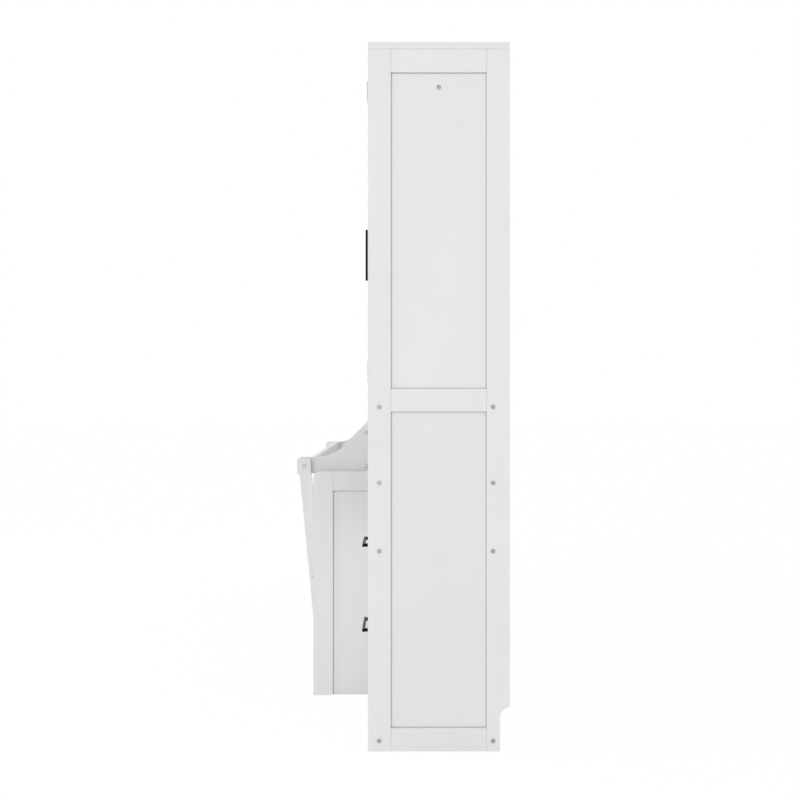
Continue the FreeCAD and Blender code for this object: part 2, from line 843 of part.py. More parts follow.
def ledge_hinge_straps():
    """Straps on the back of the ledge, each with the middle knuckle."""
    straps = []
    for middle in ledge_hinge_places():
        x = (middle - ledge_knuckle / 2, middle + ledge_knuckle / 2)
        strap_depth = (ledge_back - ledge_plate, ledge_back)
        low = ledge_axis_level - ledge_strap_height
        strap = block(x, strap_depth, (low, ledge_axis_level))
        knuckle = axis_bar(ledge_barrel_radius, x)
        web_level = (ledge_axis_level - ledge_barrel_radius, ledge_axis_level)
        web = block(x, (ledge_axis_depth, ledge_back), web_level)
        whole = join(strap, [knuckle, web])
        straps.append(whole.cut(axis_bar(ledge_pin_radius + pin_clearance, x)))
    return straps


# Arms

def arm_place(share):
    """Depth and level of a place along the arm, from its foot at 0 to its pivot at 1."""
    return arm_foot_depth + share * arm_tilt, arm_foot_level + share * arm_rise


def slanted(x, share, half_along, half_across):
    """Block that lies square to the leaning arm, about a place along it."""
    depth, level = arm_place(share)
    whole = block(x, (depth - half_across, depth + half_across), (level - half_along, level + half_along))
    whole.rotate(point(0, depth, level), FreeCAD.Vector(1, 0, 0), arm_lean)
    return whole


def swing_arm():
    """Arm with a round foot and a block at its head. Its shank runs a little behind its two pivots."""
    x = (arm_inner, arm_outer)
    half_length = math.hypot(arm_rise, arm_tilt) / 2
    shank = slanted(x, 0.5, half_length, arm_width / 2)
    shank.translate(FreeCAD.Vector(0, arm_set_back, 0))
    foot = bar_x(arm_width / 2, x, arm_foot_depth - arm_set_back, arm_foot_level)
    head_depth = (ledge_pivot_depth - arm_head_width / 2, ledge_pivot_depth + arm_head_width / 2)
    head_low = ledge_pivot_level - arm_head_drop - arm_head_height / 2
    head = block(x, head_depth, (head_low, head_low + arm_head_height))
    corners = [edge for edge in head.Edges if edge.BoundBox.XLength > arm_thickness / 2]
    head = head.makeFillet(arm_head_round, corners)
    arm = join(shank, [foot, head])
    arm = arm.cut(bar_x(pivot_bolt_radius + pin_clearance, x, ledge_pivot_depth, ledge_pivot_level))
    return arm.cut(bar_x(arm_pin_radius + pin_clearance, x, arm_foot_depth, arm_foot_level))


def arm_cross_bar():
    """Bar between the two arms."""
    return [slanted((-arm_inner, arm_inner), arm_bar_share, arm_bar_height / 2, board_thickness / 2)]


def arm_bolts():
    """A flat-headed bolt through each arm into the end of the bar."""
    depth, level = arm_place(arm_bar_share)
    head_x = (arm_outer, arm_outer + arm_gap / 2)
    head = bar_x(bolt_head_radius, head_x, depth, level)
    shank = bar_x(bolt_shank_radius, (arm_inner - bolt_grip, arm_outer), depth, level)
    return pair([join(head, [shank])])


# Drop legs

def drop_leg():
    x = (leg_spread - leg_width / 2, leg_spread + leg_width / 2)
    half = leg_thickness / 2
    depth = (leg_axis_depth - half, leg_axis_depth + half)
    shank = block(x, depth, (leg_axis_level - leg_length, leg_axis_level))
    crown = bar_x(half, x, leg_axis_depth, leg_axis_level)
    leg = join(shank, [crown])
    return leg.cut(bar_x(leg_pin_radius + pin_clearance, x, leg_axis_depth, leg_axis_level))


def drop_legs():
    reach = leg_spread - leg_width / 2
    half = leg_thickness / 2
    low = leg_axis_level - leg_length
    depth = (leg_axis_depth - half, leg_axis_depth + half)
    return pair([drop_leg()]) + [block((-reach, reach), depth, (low, low + leg_bar_height))]


def leg_bracket():
    """Plate with two ears and the pin that a leg swings on."""
    inner = leg_width / 2 + leg_ear_gap
    outer = inner + leg_ear
    level = (leg_axis_level - leg_ear_half_height, leg_axis_level + leg_ear_half_height)
    plate_x = (leg_spread - outer, leg_spread + outer)
    plate = block(plate_x, (bed_face, bed_face + leg_base_plate), level)
    ear_depth = (bed_face, leg_axis_depth + leg_thickness / 2)
    ears = []
    for start, end in ((-outer, -inner), (inner, outer)):
        ears.append(block((leg_spread + start, leg_spread + end), ear_depth, level))
    pin = bar_x(leg_pin_radius, plate_x, leg_axis_depth, leg_axis_level)
    return [join(plate, ears + [pin])]


def cabinet_nodes():
    """Nodes that each cabinet has, under names without their side."""
    nodes = {
        "outer_side": outer_side(),
        "inner_side": inner_side(),
        "fixed_shelves": fixed_shelves(),
        "front_rails": front_rails(),
        "clothes_rail": clothes_rail(),
        "hinge_case_leaves": hinge_case_leaves(),
        "hinge_door_leaves": hinge_door_leaves(),
        "door": door(),
        "door_handle": door_handle(),
        "drawer_runners": drawer_runners(),
        "base_side": base_side(),
    }
    for index, name in enumerate(drawer_names):
        nodes[name + "_drawer_front"] = drawer_front(index)
        nodes[name + "_drawer_box"] = drawer_box(index)
        nodes[name + "_drawer_handle"] = drawer_handle(index)
    return nodes


def middle_nodes():
    return {
        "back_panels": pair([back_panel()]),
        "top_boards": top_boards(),
        "bay_fascia": bay_fascia(),
        "cross_rails": cross_rails(),
        "carcass_bolts": pair(carcass_bolts()),
        "bed_pivot_pins": pair(bed_pivot_pin()),
        "arm_pivot_pins": pair(arm_pivot_pin()),
        "strut_foot_brackets": pair(strut_foot_bracket()),
        "bed_frame_rails": bed_frame_rails(),
        "bed_slats": bed_slats(),
        "bed_face_frame": bed_face_frame(),
        "bed_face_panels": bed_face_panels(),
        "bed_pivot_bushes": pair(bed_pivot_bush()),
        "strut_head_brackets": pair(strut_head_bracket()),
        "strut_cylinders": pair(strut_cylinder()),
        "strut_rods": pair(strut_rod()),
        "ledge_boards": ledge_boards(),
        "ledge_bolts": ledge_bolts(),
        "ledge_hinge_lugs": ledge_hinge_lugs(),
        "ledge_hinge_straps": ledge_hinge_straps(),
        "swing_arms": pair([swing_arm()]),
        "arm_cross_bar": arm_cross_bar(),
        "arm_bolts": arm_bolts(),
        "drop_legs": drop_legs(),
        "leg_brackets": pair(leg_bracket()),
    }


def write(name, solids):
    Part.makeCompound(solids).exportStep("parts/" + name + ".step")


def main():
    os.makedirs("parts", exist_ok=True)
    for name, solids in cabinet_nodes().items():
        write("right_" + name, solids)
        write("left_" + name, [mirrored(solid) for solid in solids])
    for name, solids in middle_nodes().items():
        write(name, solids)


if __name__ == "__main__":
    main()
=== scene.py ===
"""Looks of a white wall bed that folds down from between two tall cabinets."""

import json
import logging
import math
from dataclasses import dataclass, field
from enum import Enum
from functools import cached_property
from typing import Any, Iterable, Protocol

import bmesh
import bpy
from mathutils import Matrix, Vector

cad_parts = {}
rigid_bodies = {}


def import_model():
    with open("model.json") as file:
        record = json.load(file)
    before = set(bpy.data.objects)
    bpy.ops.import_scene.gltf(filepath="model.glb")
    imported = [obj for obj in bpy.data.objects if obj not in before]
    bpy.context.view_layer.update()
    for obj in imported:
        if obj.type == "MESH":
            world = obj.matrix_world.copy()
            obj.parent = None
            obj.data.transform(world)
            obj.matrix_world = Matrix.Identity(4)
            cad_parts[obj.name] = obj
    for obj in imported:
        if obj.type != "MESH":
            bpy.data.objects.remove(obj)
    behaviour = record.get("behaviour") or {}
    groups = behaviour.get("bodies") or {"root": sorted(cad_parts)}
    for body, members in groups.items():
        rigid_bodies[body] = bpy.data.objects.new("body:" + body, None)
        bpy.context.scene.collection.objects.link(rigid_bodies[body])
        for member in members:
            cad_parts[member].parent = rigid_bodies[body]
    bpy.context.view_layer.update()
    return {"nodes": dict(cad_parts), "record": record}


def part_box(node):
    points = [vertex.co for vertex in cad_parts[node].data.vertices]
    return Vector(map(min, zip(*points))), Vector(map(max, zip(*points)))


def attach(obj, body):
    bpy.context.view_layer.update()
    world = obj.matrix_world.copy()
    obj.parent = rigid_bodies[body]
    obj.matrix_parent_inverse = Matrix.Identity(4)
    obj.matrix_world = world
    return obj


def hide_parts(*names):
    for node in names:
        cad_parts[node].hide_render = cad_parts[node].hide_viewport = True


LOG = logging.getLogger("wall_bed")
SIDES = {"right": 1.0, "left": -1.0}
DRAWERS = ("upper", "lower")
MM_PER_M = 1000.0
QUARTER_TURN_DEG = 90.0

# Axes and directions of the shared frame
AXES = (0, 1, 2)
DEPTH_AXIS = 1
UP = Vector((0, 0, 1))
TO_WALL = Vector((0, 1, 0))
TO_ROOM = Vector((0, -1, 0))
MATRIX_ROWS = 4

# Corners that agree to this many digits of a metre are one corner
PLACE_DIGITS = 6

# Attributes that tell the finishes which board they are on
BOARD_TONE = "board_tone"
GRAIN_PLACE = "grain_place"

# Steps of this share of a whole spread the tones of the boards evenly
GOLDEN_SHARE = 0.618034
MIDDLE_TONE = 0.5

# How much fine detail a noise texture has
SOFT_DETAIL = 2.0
FINE_DETAIL = 3.0

# Most of a noise texture's values lie in this span
NOISE_SPAN = (0.3, 0.7)

# Metres from one ring to the next in a wave texture whose scale is one
WAVE_RADIANS_PER_M = 20.0
WAVE_AT_SCALE_ONE = math.tau / WAVE_RADIANS_PER_M

# Sockets of a colour mix, whose names its other kinds share
MIX_FACTOR = 0
MIX_FIRST = 6
MIX_SECOND = 7
MIX_RESULT = 2

# Hex colours, and the sRGB curve, which is straight near black
HEX_BASE = 16
HEX_DIGITS = 2
FULL_CHANNEL = 255.0
STRAIGHT_END = 0.04045
STRAIGHT_SLOPE = 12.92
CURVE_OFFSET = 0.055
CURVE_POWER = 2.4

Seat = tuple[Vector, Vector]


def mm(length: float) -> float:
    """Millimetres as metres."""
    return length / MM_PER_M


def linear(hex_colour: str) -> tuple[float, float, float, float]:
    """Turn an sRGB hex colour to linear.

    Args:
        hex_colour: Six hex digits after a hash sign.

    Returns:
        Red, green, blue and full alpha, linear.
    """
    digits = hex_colour.lstrip("#")
    channels = []
    for start in range(0, len(digits), HEX_DIGITS):
        value = int(digits[start:start + HEX_DIGITS], HEX_BASE) / FULL_CHANNEL
        if value <= STRAIGHT_END:
            channels.append(value / STRAIGHT_SLOPE)
        else:
            channels.append(((value + CURVE_OFFSET) / (1.0 + CURVE_OFFSET)) ** CURVE_POWER)
    return (*channels, 1.0)


def add_node(tree: bpy.types.NodeTree, kind: str, settings: dict[str, Any] | None = None,
             inputs: dict[str | int, Any] | None = None,
             stops: Iterable[tuple[float, str]] = ()) -> bpy.types.Node:
    """Add one node, set its properties, and fill or link its inputs.

    Args:
        tree: The node tree that gets the node.
        kind: The node's type name.
        settings: Property values by name.
        inputs: Values or output sockets by input name or number.
        stops: Places and sRGB colours along a colour ramp, lowest first.

    Returns:
        The new node.
    """
    node = tree.nodes.new(kind)
    for name, value in (settings or {}).items():
        setattr(node, name, value)
    for name, value in (inputs or {}).items():
        if isinstance(value, bpy.types.NodeSocket):
            tree.links.new(value, node.inputs[name])
        else:
            node.inputs[name].default_value = value
    for number, (place, colour) in enumerate(stops):
        elements = node.color_ramp.elements
        element = elements[number] if number < len(elements) else elements.new(place)
        element.position = place
        element.color = linear(colour)
    return node


@dataclass
class Surface:
    """A new material with its tree, its shader and the object's own coordinates in metres."""

    name: str
    material: bpy.types.Material = field(init=False)
    tree: bpy.types.NodeTree = field(init=False)
    shader: bpy.types.Node = field(init=False)
    place: bpy.types.NodeSocket = field(init=False)

    def __post_init__(self) -> None:
        """Make the material and its first nodes."""
        self.material = bpy.data.materials.new(self.name)
        self.material.use_nodes = True
        self.tree = self.material.node_tree
        self.shader = self.tree.nodes["Principled BSDF"]
        self.place = add_node(self.tree, "ShaderNodeTexCoord").outputs["Object"]

    def dress(self, tone: bpy.types.NodeSocket, wear: bpy.types.NodeSocket,
              roughness: tuple[float, float], relief: bpy.types.NodeSocket, relief_mm: float,
              strength: float) -> bpy.types.Material:
        """Give the shader its colour, its roughness and a fine relief.

        Args:
            tone: Colour socket.
            wear: Noise socket that the roughness follows.
            roughness: Roughness at the low and at the high end of the noise.
            relief: Height socket from 0 to 1.
            relief_mm: Height of the relief.
            strength: Share of the relief that shows.

        Returns:
            The finished material.
        """
        gloss = add_node(self.tree, "ShaderNodeMapRange", inputs={
            "Value": wear, "From Min": NOISE_SPAN[0], "From Max": NOISE_SPAN[1],
            "To Min": roughness[0], "To Max": roughness[1]})
        bump = add_node(self.tree, "ShaderNodeBump", inputs={
            "Height": relief, "Strength": strength, "Distance": mm(relief_mm)})
        self.tree.links.new(tone, self.shader.inputs["Base Color"])
        self.tree.links.new(gloss.outputs["Result"], self.shader.inputs["Roughness"])
        self.tree.links.new(bump.outputs["Normal"], self.shader.inputs["Normal"])
        return self.material


class Finish(Protocol):
    """A finish that can make its material."""

    def material(self) -> bpy.types.Material:
        """Make the material."""


@dataclass(frozen=True)
class SprayedLacquer:
    """White acrylic lacquer sprayed on MDF boards."""

    name: str = "white_acrylic_lacquer_sprayed_on_mdf"
    colour: str = "#EBEBEB"
    thin_colour: str = "#E6E6E5"
    roughness: tuple[float, float] = (0.36, 0.5)
    cloud_mm: float = 260.0
    board_share: float = 0.4
    tone_span: tuple[float, float] = (0.25, 0.75)
    peel_mm: float = 5.0
    peel_height_mm: float = 0.02
    peel_share: float = 0.6
    coat_ior: float = 1.48

    def material(self) -> bpy.types.Material:
        """Make a satin white with faint clouds and orange peel.

        Returns:
            The material.
        """
        # The eye sees an even satin white. The coat is a little thinner in soft clouds and from board to
        # board, and its skin has orange peel. The real peel is finer than a pixel, so it is drawn coarse
        # enough to break up gloss.
        surface = Surface(self.name)
        tree = surface.tree
        clouds = add_node(tree, "ShaderNodeTexNoise", inputs={
            "Vector": surface.place, "Scale": 1.0 / mm(self.cloud_mm), "Detail": FINE_DETAIL})
        board = add_node(tree, "ShaderNodeAttribute", {"attribute_name": BOARD_TONE})
        coat = add_node(tree, "ShaderNodeMix", {"data_type": "FLOAT"}, {
            "Factor": self.board_share, "A": clouds.outputs["Fac"], "B": board.outputs["Fac"]})
        peel = add_node(tree, "ShaderNodeTexNoise", inputs={
            "Vector": surface.place, "Scale": 1.0 / mm(self.peel_mm), "Detail": SOFT_DETAIL})
        tone = add_node(tree, "ShaderNodeValToRGB", inputs={"Fac": coat.outputs["Result"]},
                        stops=zip(self.tone_span, (self.colour, self.thin_colour)))
        surface.shader.inputs["IOR"].default_value = self.coat_ior
        return surface.dress(tone.outputs["Color"], clouds.outputs["Fac"], self.roughness,
                             peel.outputs["Fac"], self.peel_height_mm, self.peel_share)


@dataclass(frozen=True)
class PlanedPine:
    """Bare pine, planed, with its grain along each board."""

    name: str = "planed_pine_unfinished"
    early_wood: str = "#EBD8B3"
    mid_wood: str = "#E0C596"
    late_wood: str = "#C3965F"
    aged_wood: str = "#F0DDBE"
    ring_stops: tuple[float, ...] = (0.2, 0.6, 0.92)
    ring_mm: float = 11.0
    stretch: float = 20.0
    wander_mm: float = 40.0
    pore_mm: float = 1.8
    pore_share: float = 0.22
    pore_height_mm: float = 0.06
    pore_relief: float = 0.5
    roughness: tuple[float, float] = (0.52, 0.7)

    def material(self) -> bpy.types.Material:
        """Make pine with long arches of late wood and fine pores.

        Returns:
            The material.
        """
        # The eye sees pale early wood crossed by darker late-wood lines. They run the length of a board
        # and close in long arches, because a board leans a little from the heart of its tree. Each board
        # has its own arches and its own shade. The rings are some three times as wide as real ones, so
        # that they show from across a room.
        surface = Surface(self.name)
        tree = surface.tree
        grain = add_node(tree, "ShaderNodeAttribute", {"attribute_name": GRAIN_PLACE})
        along = add_node(tree, "ShaderNodeMapping", inputs={
            "Vector": grain.outputs["Vector"], "Scale": (1.0 / self.stretch, 1.0, 1.0)})
        wander = add_node(tree, "ShaderNodeTexNoise", inputs={
            "Vector": along.outputs["Vector"], "Scale": 1.0 / mm(self.wander_mm), "Detail": SOFT_DETAIL})
        shifted = add_node(tree, "ShaderNodeVectorMath", {"operation": "MULTIPLY_ADD"}, {
            0: wander.outputs["Color"], 1: (mm(self.ring_mm),) * len(AXES), 2: along.outputs["Vector"]})
        rings = add_node(tree, "ShaderNodeTexWave", {
            "wave_type": "RINGS", "rings_direction": "X", "wave_profile": "SIN"}, {
            "Vector": shifted.outputs["Vector"], "Scale": WAVE_AT_SCALE_ONE / mm(self.ring_mm)})
        pores = add_node(tree, "ShaderNodeTexNoise", inputs={
            "Vector": along.outputs["Vector"], "Scale": 1.0 / mm(self.pore_mm), "Detail": FINE_DETAIL})
        blend = add_node(tree, "ShaderNodeMix", {"data_type": "FLOAT"}, {
            "Factor": self.pore_share, "A": rings.outputs["Fac"], "B": pores.outputs["Fac"]})
        colours = (self.early_wood, self.mid_wood, self.late_wood)
        wood = add_node(tree, "ShaderNodeValToRGB", inputs={"Fac": blend.outputs["Result"]},
                        stops=zip(self.ring_stops, colours))
        board = add_node(tree, "ShaderNodeAttribute", {"attribute_name": BOARD_TONE})
        tone = add_node(tree, "ShaderNodeMix", {"data_type": "RGBA", "blend_type": "MULTIPLY"}, {
            MIX_FACTOR: board.outputs["Fac"], MIX_FIRST: wood.outputs["Color"],
            MIX_SECOND: linear(self.aged_wood)})
        return surface.dress(tone.outputs[MIX_RESULT], pores.outputs["Fac"], self.roughness,
                             pores.outputs["Fac"], self.pore_height_mm, self.pore_relief)


@dataclass(frozen=True)
class PowderCoat:
    """Black polyester powder, baked on steel."""

    name: str = "black_powder_coat_baked_on_steel"
    colour: str = "#0D0D0E"
    worn_colour: str = "#17171A"
    grain_mm: float = 0.9
    grain_height_mm: float = 0.05
    grain_relief: float = 0.3
    rubbed_mm: float = 27.0
    rubbed_span: tuple[float, float] = (0.45, 0.8)
    roughness: tuple[float, float] = (0.24, 0.38)
    specular_level: float = 0.12

    def material(self) -> bpy.types.Material:
        """Make a fine-grained satin black.

        Returns:
            The material.
        """
        # The eye sees a soft black with a fine pebbled grain that spreads its highlights.
        surface = Surface(self.name)
        tree = surface.tree
        grain = add_node(tree, "ShaderNodeTexNoise", inputs={
            "Vector": surface.place, "Scale": 1.0 / mm(self.grain_mm), "Detail": SOFT_DETAIL})
        rubbed = add_node(tree, "ShaderNodeTexNoise", inputs={
            "Vector": surface.place, "Scale": 1.0 / mm(self.rubbed_mm), "Detail": FINE_DETAIL})
        tone = add_node(tree, "ShaderNodeValToRGB", inputs={"Fac": rubbed.outputs["Fac"]},
                        stops=zip(self.rubbed_span, (self.colour, self.worn_colour)))
        surface.shader.inputs["Specular IOR Level"].default_value = self.specular_level
        return surface.dress(tone.outputs["Color"], grain.outputs["Fac"], self.roughness,
                             grain.outputs["Fac"], self.grain_height_mm, self.grain_relief)


@dataclass(frozen=True)
class PlatedSteel:
    """Steel with a plated skin, from dull zinc to bright chrome."""

    name: str
    colour: str
    shade: str
    roughness: tuple[float, float]
    spangle_mm: float
    spangle_span: tuple[float, float] = (0.1, 0.8)
    scratch_mm: float = 0.4
    scratch_stretch: float = 10.0
    scratch_height_mm: float = 0.01
    scratch_relief: float = 0.3

    def material(self) -> bpy.types.Material:
        """Make a plated metal with uneven tone and fine handling scratches.

        Returns:
            The material.
        """
        # The eye sees grey metal whose tone shifts from patch to patch, with scratches from handling
        # that blur what it mirrors.
        surface = Surface(self.name)
        tree = surface.tree
        spangle = add_node(tree, "ShaderNodeTexVoronoi", inputs={
            "Vector": surface.place, "Scale": 1.0 / mm(self.spangle_mm)})
        drawn = add_node(tree, "ShaderNodeMapping", inputs={
            "Vector": surface.place, "Scale": (1.0 / self.scratch_stretch, 1.0, 1.0)})
        scratch = add_node(tree, "ShaderNodeTexNoise", inputs={
            "Vector": drawn.outputs["Vector"], "Scale": 1.0 / mm(self.scratch_mm), "Detail": FINE_DETAIL})
        tone = add_node(tree, "ShaderNodeValToRGB", inputs={"Fac": spangle.outputs["Distance"]},
                        stops=zip(self.spangle_span, (self.colour, self.shade)))
        surface.shader.inputs["Metallic"].default_value = 1.0
        return surface.dress(tone.outputs["Color"], scratch.outputs["Fac"], self.roughness,
                             scratch.outputs["Fac"], self.scratch_height_mm, self.scratch_relief)


class Slot(Enum):
    """Material slots of the record, each with its finish."""

    WHITE_LACQUER = SprayedLacquer()
    SLAT_PINE = PlanedPine()
    BLACK_METAL = PowderCoat()
    ZINC_STEEL = PlatedSteel(name="zinc_plated_steel_passivated", colour="#B9BABB", shade="#97989A",
                             roughness=(0.2, 0.36), spangle_mm=3.0)
    CHROME_PLATE = PlatedSteel(name="chrome_plated_steel_polished", colour="#DCDDDF", shade="#D0D2D4",
                               roughness=(0.06, 0.14), spangle_mm=12.0)

    @property
    def slot_name(self) -> str:
        """Name of the slot in the record."""
        return self.name.lower()


@dataclass
class Paintbox:
    """Makes each finish's material once and hands it out."""

    made: dict[Slot, bpy.types.Material] = field(default_factory=dict)

    def paint(self, piece: bpy.types.Object, slot: Slot) -> None:
        """Give a piece one material all over, made from its slot's finish.

        Args:
            piece: The mesh object.
            slot: The slot whose finish it takes.
        """
        if slot not in self.made:
            finish: Finish = slot.value
            self.made[slot] = finish.material()
        piece.data.materials.append(self.made[slot])


@dataclass
class Solid:
    """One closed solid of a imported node, with its corners shared between its faces."""

    points: list[Vector] = field(default_factory=list)
    faces: list[list[int]] = field(default_factory=list)

    @cached_property
    def low(self) -> Vector:
        """Lowest corner of the solid's box."""
        return Vector([min(point[axis] for point in self.points) for axis in AXES])

    @cached_property
    def high(self) -> Vector:
        """Highest corner of the solid's box."""
        return Vector([max(point[axis] for point in self.points) for axis in AXES])

    @cached_property
    def size(self) -> Vector:
        """Size of the solid's box."""
        return self.high - self.low

    @cached_property
    def middle(self) -> Vector:
        """Middle of the solid's box."""
        return (self.low + self.high) / 2

    @cached_property
    def longest_first(self) -> list[int]:
        """Axes from the longest side of the box to the shortest."""
        return sorted(AXES, key=lambda axis: -self.size[axis])

    def touches(self, place: Vector, reach: float) -> bool:
        """Whether a place is within reach of the solid's box."""
        return all(self.low[axis] - reach < place[axis] < self.high[axis] + reach for axis in AXES)


def solids_of(node: bpy.types.Object) -> list[Solid]:
    """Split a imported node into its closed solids, which its faces follow one after another.

    Args:
        node: The node's object.

    Returns:
        The solids in the node's own order.
    """
    mesh = node.data
    solids = []
    solid = Solid()
    known: dict[tuple[float, ...], int] = {}
    open_edges: set[tuple[int, int]] = set()
    for polygon in mesh.polygons:
        corners = []
        for vertex in polygon.vertices:
            place = mesh.vertices[vertex].co
            key = tuple(round(value, PLACE_DIGITS) for value in place)
            if key not in known:
                known[key] = len(solid.points)
                solid.points.append(place.copy())
            corners.append(known[key])
        if len(set(corners)) == len(corners):
            solid.faces.append(corners)
        for start, end in zip(corners, corners[1:] + corners[:1]):
            open_edges ^= {(min(start, end), max(start, end))}
        if not open_edges:
            solids.append(solid)
            solid = Solid()
            known = {}
    if solid.faces:
        solids.append(solid)
    return solids


def as_piece(mesh: bmesh.types.BMesh, name: str) -> bpy.types.Object:
    """Turn a finished mesh into an object of the scene.

    Args:
        mesh: The mesh, which is freed.
        name: The object's name.

    Returns:
        The object.
    """
    data = bpy.data.meshes.new(name)
    mesh.to_mesh(data)
    mesh.free()
    piece = bpy.data.objects.new(name, data)
    bpy.context.scene.collection.objects.link(piece)
    return piece


@dataclass(frozen=True)
class Edging:
    """How the edges of a kind of piece are eased."""

    arris_mm: float
    joint_mm: float
    steps: int = 2


@dataclass
class Finisher:
    """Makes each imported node's finished piece: the same solids with eased edges and a finish.

    A bare board is drawn as if sawn from a log. The heart's depth and shift say where in the log it lay,
    and the lean says how far the log's heart runs out of it.
    """

    nodes: dict[str, bpy.types.Object]
    bodies: dict[str, list[str]]
    paintbox: Paintbox
    flat_deg: float = 0.5
    eased_deg: float = 32.0
    round_profile: float = 0.5
    sharp_deg: float = 42.0
    touch_mm: float = 0.05
    heart_depth_mm: tuple[float, float] = (6.0, 24.0)
    heart_shift_mm: float = 36.0
    log_lean: tuple[float, float] = (0.012, 0.026)
    log_length_m: float = 6.0
    boards: int = 0
    solids: dict[str, list[Solid]] = field(init=False)

    def __post_init__(self) -> None:
        """Split each node once."""
        self.solids = {name: solids_of(node) for name, node in self.nodes.items()}

    def finish(self, names: Iterable[str], slot: Slot, edging: Edging) -> None:
        """Make the finished pieces of some nodes.

        Args:
            names: The nodes.
            slot: Their slot.
            edging: How their edges are eased.
        """
        for name in names:
            body = next(body for body, members in self.bodies.items() if name in members)
            beside = [solid for member in self.bodies[body] for solid in self.solids[member]]
            piece = self.piece(name, beside, edging)
            self.paintbox.paint(piece, slot)
            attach(piece, body)
            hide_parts(name)
            LOG.info("%s on %s: %s", piece.name, body, slot.slot_name)

    def piece(self, name: str, beside: list[Solid], edging: Edging) -> bpy.types.Object:
        """Ease each solid of a node by itself, so that the joints between boards show.

        Args:
            name: The node.
            beside: The solids of the same body.
            edging: How the edges are eased.

        Returns:
            The finished piece without its material.
        """
        whole = bmesh.new()
        tone_layer = whole.verts.layers.float.new(BOARD_TONE)
        grain_layer = whole.verts.layers.float_vector.new(GRAIN_PLACE)
        for solid in self.solids[name]:
            self.boards += 1
            tone = (GOLDEN_SHARE * self.boards) % 1.0
            eased = self.eased(solid, [other for other in beside if other is not solid], edging)
            copies = {}
            for vertex in eased.verts:
                copy = whole.verts.new(vertex.co)
                copy[tone_layer] = tone
                copy[grain_layer] = self.grain_place(solid, vertex.co, tone)
                copies[vertex] = copy
            for face in eased.faces:
                whole.faces.new([copies[vertex] for vertex in face.verts]).smooth = True
            eased.free()
        piece = as_piece(whole, name + "_finished")
        piece.data.set_sharp_from_angle(angle=math.radians(self.sharp_deg))
        normals = piece.modifiers.new("flat_faces", "WEIGHTED_NORMAL")
        normals.keep_sharp = True
        return piece

    def eased(self, solid: Solid, others: list[Solid], edging: Edging) -> bmesh.types.BMesh:
        """Round the outward edges of one solid, wider where it meets another.

        Args:
            solid: The solid.
            others: What it may meet.
            edging: How the edges are eased.

        Returns:
            A closed mesh, which the caller frees.
        """
        mesh = bmesh.new()
        corners = [mesh.verts.new(point) for point in solid.points]
        for face in solid.faces:
            mesh.faces.new([corners[index] for index in face])
        bmesh.ops.dissolve_limit(mesh, angle_limit=math.radians(self.flat_deg), verts=mesh.verts,
                                 edges=mesh.edges)
        limit = math.radians(self.eased_deg)
        for width, jointed in ((mm(edging.joint_mm), True), (mm(edging.arris_mm), False)):
            mesh.normal_update()
            edges = []
            for edge in mesh.edges:
                middle = (edge.verts[0].co + edge.verts[1].co) / 2
                meets = any(other.touches(middle, mm(self.touch_mm)) for other in others)
                if meets == jointed and edge.is_convex and edge.calc_face_angle(0.0) > limit:
                    edges.append(edge)
            bmesh.ops.bevel(mesh, geom=edges, offset=width, offset_type="OFFSET", segments=edging.steps,
                            profile=self.round_profile, affect="EDGES", clamp_overlap=True)
        return mesh

    def grain_place(self, solid: Solid, point: Vector, tone: float) -> Vector:
        """Place of a point in the tree that its board was sawn from.

        Args:
            solid: The board.
            point: A point on it.
            tone: The board's own share, from 0 to 1.

        Returns:
            Metres along the log, and two across it from its heart.
        """
        from_middle = point - solid.middle
        along, across, through = (from_middle[axis] for axis in solid.longest_first)
        lean = along if self.boards % 2 else -along
        near, far = self.heart_depth_mm
        shift = mm(self.heart_shift_mm) * (tone - MIDDLE_TONE) + lean * self.log_lean[0]
        depth = mm(near + (far - near) * tone) + lean * self.log_lean[1]
        return Vector((along + self.log_length_m * tone, across + shift, through + depth))


